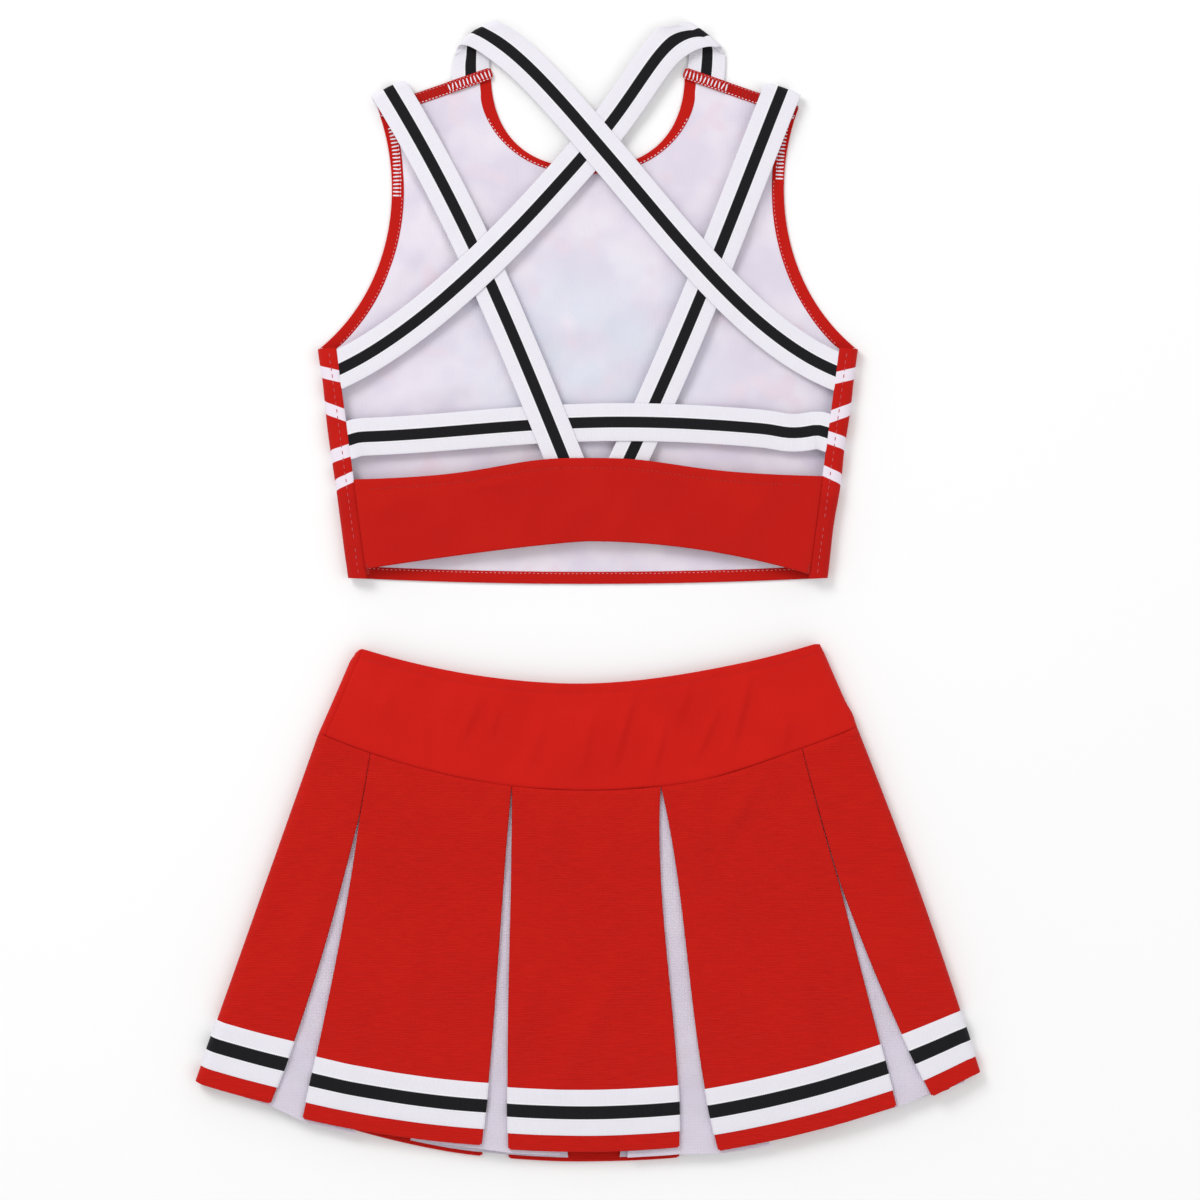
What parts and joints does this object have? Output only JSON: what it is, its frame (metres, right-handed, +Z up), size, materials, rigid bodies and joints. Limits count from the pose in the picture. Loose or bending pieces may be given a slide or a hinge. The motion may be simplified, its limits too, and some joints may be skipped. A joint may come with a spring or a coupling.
{
  "type": "cheer uniform",
  "caption": "Two-piece cheer uniform laid flat, back up: a sleeveless crop top with crossed striped straps over an open back, and a box-pleated skirt with striped hem trim.",
  "frame": {"origin": "middle of the laid-out uniform's box, on the surface it lies on", "axes": "+Z up from the surface, +Y towards the shoulders of the top, +X to the right as seen from above"},
  "size_m": [0.517, 0.7502, 0.012],
  "materials": {
    "red_cloth": "matt ribbed polyester knit",
    "front_cloth": "matt printed polyester knit, white inside and red outside",
    "pleat_cloth": "matt white polyester",
    "webbing": "ribbed elastic webbing, white with a black stripe",
    "elastic": "woven white elastic"
  },
  "bodies": {
    "top": {"front_panel": "front_cloth", "neck_binding": "red_cloth", "left_armhole_binding": "red_cloth", "right_armhole_binding": "red_cloth", "left_shoulder_facing": "red_cloth", "right_shoulder_facing": "red_cloth", "front_hem_facing": "red_cloth", "back_band": "red_cloth", "band_elastic": "elastic", "left_outer_strap": "webbing", "right_outer_strap": "webbing", "left_cross_strap": "webbing", "right_cross_strap": "webbing", "horizontal_strap": "webbing"},
    "skirt": {"waistband_back": "red_cloth", "waistband_front": "red_cloth", "waist_elastic": "elastic", "left_side_panel": "red_cloth", "right_side_panel": "red_cloth", "front_left_panel": "red_cloth", "front_centre_panel": "red_cloth", "front_right_panel": "red_cloth", "back_outer_left_pleat": "pleat_cloth", "back_outer_right_pleat": "pleat_cloth", "front_outer_left_pleat": "pleat_cloth", "front_inner_left_pleat": "pleat_cloth", "front_inner_right_pleat": "pleat_cloth", "front_outer_right_pleat": "pleat_cloth", "left_side_trim": "webbing", "right_side_trim": "webbing", "front_left_trim": "webbing", "front_centre_trim": "webbing", "front_right_trim": "webbing"},
    "skirt_back": {"back_left_panel": "red_cloth", "back_centre_panel": "red_cloth", "back_right_panel": "red_cloth", "back_inner_left_pleat": "pleat_cloth", "back_inner_right_pleat": "pleat_cloth", "back_left_trim": "webbing", "back_centre_trim": "webbing", "back_right_trim": "webbing"}
  },
  "joints": [
    {"name": "garment_spacing", "type": "slide", "parent": "top", "child": "skirt", "axis": [0, -1, 0], "range_m": [0, 0.3]},
    {"name": "back_layer_lift", "type": "hinge", "parent": "skirt", "child": "skirt_back", "pos_m": [0, -0.1045, 0.012], "axis": [-1, 0, 0], "range_deg": [0, 15]}
  ]
}
